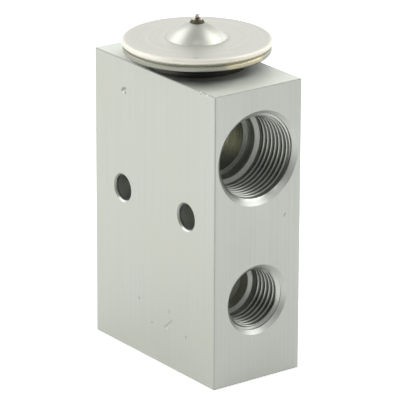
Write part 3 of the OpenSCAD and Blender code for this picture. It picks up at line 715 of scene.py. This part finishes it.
def port_thread(name, z, root_r, thread_len, side, start):
    """The ridge of a right-handed thread in a port: a profile spun into the bore along its axis.
    It starts before the mouth's bevel, which cuts it away. side is -1 for a port in the front face
    and 1 for one in the back face."""
    crest_r = root_r - RIDGE_H
    relief_r = crest_r
    face = -BLOCK_D / 2
    half_foot = PITCH * 0.4375
    half_crest = PITCH * 0.09
    profile = [(-half_foot - 0.04, root_r + 0.06), (-half_foot, root_r),
               (-half_crest - 0.06, crest_r + 0.07), (-half_crest, crest_r),
               (half_crest, crest_r), (half_crest + 0.06, crest_r + 0.07),
               (half_foot, root_r), (half_foot + 0.04, root_r + 0.06)]
    turns = (thread_len + 0.5 - start) / PITCH
    steps = int(turns * 96)
    bm = bmesh.new()
    corners = [bm.verts.new((0, face + start + along, r)) for along, r in profile]
    cap = bm.faces.new(corners)
    bmesh.ops.spin(bm, geom=[cap, *cap.edges, *cap.verts], cent=(0, 0, 0), axis=(0, 1, 0),
                   dvec=(0, PITCH * turns / steps, 0), angle=2 * math.pi * turns, steps=steps,
                   use_duplicate=False)
    mouth_r = root_r + MOUTH_BEVEL + 0.03
    for vertex in bm.verts:
        depth = vertex.co.y - face
        if depth < 0.1:
            depth = 0.1 + (depth - 0.1) * 0.04
            vertex.co.y = face + depth
        r = math.hypot(vertex.co.x, vertex.co.z)
        least = mouth_r - depth if depth < MOUTH_BEVEL + RIDGE_H else 0
        if depth > thread_len:
            least = max(least, relief_r + 0.03)
        if r < least:
            vertex.co.x *= least / r
            vertex.co.z *= least / r
    bmesh.ops.holes_fill(bm, edges=bm.edges[:])
    bmesh.ops.recalc_face_normals(bm, faces=bm.faces[:])
    turn = Matrix.Rotation(math.pi if side > 0 else 0, 4, "Z") @ Matrix.Rotation(math.pi, 4, "Y")
    bmesh.ops.transform(bm, matrix=Matrix.Diagonal((MM, MM, MM, 1))
                        @ Matrix.Translation((0, 0, z)) @ turn, verts=bm.verts[:])
    for flank in bm.faces:
        flank.smooth = True
    for edge in bm.edges:
        edge.smooth = edge.calc_face_angle(0) < 0.4
    add_piece(name, bm, thread_alloy(name + "_alloy", z, root_r), "housing")


def rim_weld():
    """The bead of the weld that joins both covers and the diaphragm, at the bottom of the rim's
    groove: a small round profile spun about the head, with the ripples that the torch left."""
    bm = bmesh.new()
    bmesh.ops.create_circle(bm, cap_ends=False, segments=10, radius=WELD_R)
    bmesh.ops.rotate(bm, cent=(0, 0, 0), matrix=Matrix.Rotation(math.pi / 2, 3, "X"),
                     verts=bm.verts[:])
    bmesh.ops.translate(bm, vec=(WELD_REACH, 0, WELD_Z), verts=bm.verts[:])
    bmesh.ops.spin(bm, geom=[*bm.verts, *bm.edges], cent=(0, 0, 0), axis=(0, 0, 1), angle=2 * math.pi,
                   steps=WELD_RIPPLES * 5, use_merge=True, use_duplicate=False)
    for vertex in bm.verts:
        angle = math.atan2(vertex.co.y, vertex.co.x) * WELD_RIPPLES
        swell = 1 + 0.0022 * math.sin(angle) + 0.0012 * math.sin(angle * 0.37 + 1)
        vertex.co.x *= swell
        vertex.co.y *= swell
    bmesh.ops.recalc_face_normals(bm, faces=bm.faces[:])
    bmesh.ops.scale(bm, vec=(MM, MM, MM), verts=bm.verts[:])
    for face in bm.faces:
        face.smooth = True
    add_piece("rim_weld", bm, WELD, "housing")


def spun_ring(name, profile, material):
    """A closed ring about the head's axis, spun from a profile of radii and heights."""
    bm = bmesh.new()
    corners = [bm.verts.new((r, 0, z)) for r, z in profile]
    rim = [bm.edges.new(pair) for pair in zip(corners, corners[1:] + corners[:1])]
    bmesh.ops.spin(bm, geom=[*corners, *rim], cent=(0, 0, 0), axis=(0, 0, 1), angle=2 * math.pi,
                   steps=144, use_merge=True, use_duplicate=False)
    bmesh.ops.recalc_face_normals(bm, faces=bm.faces[:])
    bmesh.ops.scale(bm, vec=(MM, MM, MM), verts=bm.verts[:])
    for face in bm.faces:
        face.smooth = True
    add_piece(name, bm, material, "housing")


def charge_cone():
    """The crowned skin of the cone, over the straight cone of the part."""
    foot = Vector(CONE_FOOT)
    run = Vector(CONE_LIP) - foot
    out = Vector((run.y, -run.x)).normalized()
    crown = [foot + run * share + out * 4 * CONE_CROWN * share * (1 - share)
             for share in (step / 16 for step in range(17))]
    profile = [(8.05, 81.36), (7.8, 81.43), (7.58, 81.5), (7.4, 81.6),
               *((point.x, point.y) for point in crown), (1.2, 85.3), (1.2, 85.1), (7.2, 81.1)]
    spun_ring("charge_cone", profile, UPPER)


def ball_weld():
    """The dark fillet of weld at the foot of the ball."""
    spun_ring("ball_weld", BALL_FILLET, BURNT)


def add_floor():
    """White paper, clear from beneath so that the valve's base can be looked at."""
    bm = bmesh.new()
    bmesh.ops.create_grid(bm, x_segments=1, y_segments=1, size=3)
    mesh = bpy.data.meshes.new("floor")
    bm.to_mesh(mesh)
    bm.free()
    material, shader = new_material("floor_paper", 0.0, 0.9)
    shader.inputs["Base Color"].default_value = (0.9, 0.9, 0.9, 1)
    shader.inputs["Emission Color"].default_value = (1, 1, 1, 1)
    ray = link_node(material.node_tree, "ShaderNodeLightPath", (-500, 0))
    links = material.node_tree.links
    glow = link_node(material.node_tree, "ShaderNodeMapRange", (-250, 0))
    glow.inputs["To Min"].default_value = 0.22
    glow.inputs["To Max"].default_value = 0.42
    links.new(ray.outputs["Is Camera Ray"], glow.inputs["Value"])
    links.new(glow.outputs["Result"], shader.inputs["Emission Strength"])
    side = link_node(material.node_tree, "ShaderNodeNewGeometry", (300, 200))
    clear = link_node(material.node_tree, "ShaderNodeBsdfTransparent", (300, -200))
    either = link_node(material.node_tree, "ShaderNodeMixShader", (550, 0))
    links.new(side.outputs["Backfacing"], either.inputs["Fac"])
    links.new(shader.outputs["BSDF"], either.inputs[1])
    links.new(clear.outputs["BSDF"], either.inputs[2])
    links.new(either.outputs["Shader"], material.node_tree.nodes["Material Output"].inputs["Surface"])
    mesh.materials.append(material)
    floor = bpy.data.objects.new("floor", mesh)
    floor.location.z = -0.00002
    bpy.context.scene.collection.objects.link(floor)


def add_light(name, place, aim, width, height, power):
    data = bpy.data.lights.new(name, "AREA")
    data.shape = "RECTANGLE"
    data.size = width
    data.size_y = height
    data.energy = power
    lamp = bpy.data.objects.new(name, data)
    lamp.location = place
    lamp.visible_camera = False
    lamp.rotation_euler = (Vector(aim) - Vector(place)).to_track_quat("-Z", "Y").to_euler()
    bpy.context.scene.collection.objects.link(lamp)


def add_sky():
    """A pale studio: brightest at the horizon behind the valve, darker overhead and in front."""
    world = bpy.data.worlds.new("studio")
    world.use_nodes = True
    tree = world.node_tree
    sky = tree.nodes["Background"]
    sky.inputs["Color"].default_value = (1, 1, 1, 1)
    at = link_node(tree, "ShaderNodeTexCoord", (-1200, 0))
    split = link_node(tree, "ShaderNodeSeparateXYZ", (-1000, 200))
    height = link_node(tree, "ShaderNodeValToRGB", (-800, 200))
    ramp = height.color_ramp
    for place, share in SKY_RAMP:
        stop = ramp.elements.new(place)
        stop.color = (share, share, share, 1)
    ramp.elements.remove(ramp.elements[0])
    ramp.elements.remove(ramp.elements[-1])
    front = link_node(tree, "ShaderNodeVectorMath", (-1000, -200), operation="DOT_PRODUCT")
    front.inputs[1].default_value = (-0.593, -0.805, 0.0)
    facing = link_node(tree, "ShaderNodeMapRange", (-800, -200))
    facing.inputs["From Min"].default_value = -0.2
    facing.inputs["From Max"].default_value = 0.9
    facing.inputs["To Min"].default_value = SKY_BACK
    facing.inputs["To Max"].default_value = SKY_FRONT
    strength = link_node(tree, "ShaderNodeMath", (-600, 0), operation="MULTIPLY")
    ray = link_node(tree, "ShaderNodeLightPath", (-600, 400))
    shown = link_node(tree, "ShaderNodeMix", (-300, 0), data_type="FLOAT")
    shown.inputs["B"].default_value = 1.0
    tree.links.new(at.outputs["Generated"], split.inputs[0])
    tree.links.new(split.outputs["Z"], height.inputs["Fac"])
    tree.links.new(at.outputs["Generated"], front.inputs[0])
    tree.links.new(front.outputs["Value"], facing.inputs["Value"])
    tree.links.new(height.outputs["Color"], strength.inputs[0])
    tree.links.new(facing.outputs["Result"], strength.inputs[1])
    tree.links.new(strength.outputs["Value"], shown.inputs["A"])
    tree.links.new(ray.outputs["Is Camera Ray"], shown.inputs["Factor"])
    tree.links.new(shown.outputs["Result"], sky.inputs["Strength"])
    bpy.context.scene.world = world


# Share of the sky's light at each height, and how bright it is behind and in front
SKY_RAMP = ((0.001, 1.0), (0.12, 0.92), (0.34, 0.64), (0.999, 0.36))
SKY_BACK = 1.38
SKY_FRONT = 0.45


def add_lights():
    add_sky()
    add_light("key_box", (0.60, -0.28, 0.80), (0, 0, 0.04), 0.7, 0.7, 3.1)
    add_light("left_box", (-0.9, 0.3, 0.6), (0, 0, 0.04), 0.8, 0.8, 2.7)
    add_light("front_box", (-0.35, -0.47, 0.95), (0, 0, 0.07), 0.5, 0.2, 1.1)
    add_light("right_box", (0.92, 0.15, 0.34), (0, 0, 0.08), 0.45, 0.4, 0.6)
    add_light("back_box", (-0.26, 0.72, 0.80), (0, 0, 0.08), 0.65, 0.65, 2.3)


bpy.context.scene.view_settings.view_transform = "Standard"
add_camera()
finish_nodes()
port_thread("suction_out_thread", SUCTION_Z, 11.0, 12.0, -1, -0.225)
port_thread("suction_in_thread", SUCTION_Z, 11.0, 12.0, 1, -0.225)
port_thread("liquid_in_thread", INLET_Z, 8.0, 9.8, -1, -0.825)
port_thread("liquid_out_thread", OUTLET_Z, 9.0, 9.8, 1, -0.825)
rim_weld()
charge_cone()
ball_weld()
spring_half("spring_upper_coils", True)
spring_foot = spring_half("spring_lower_coils", False)
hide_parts("superheat_spring")
add_floor()
add_lights()
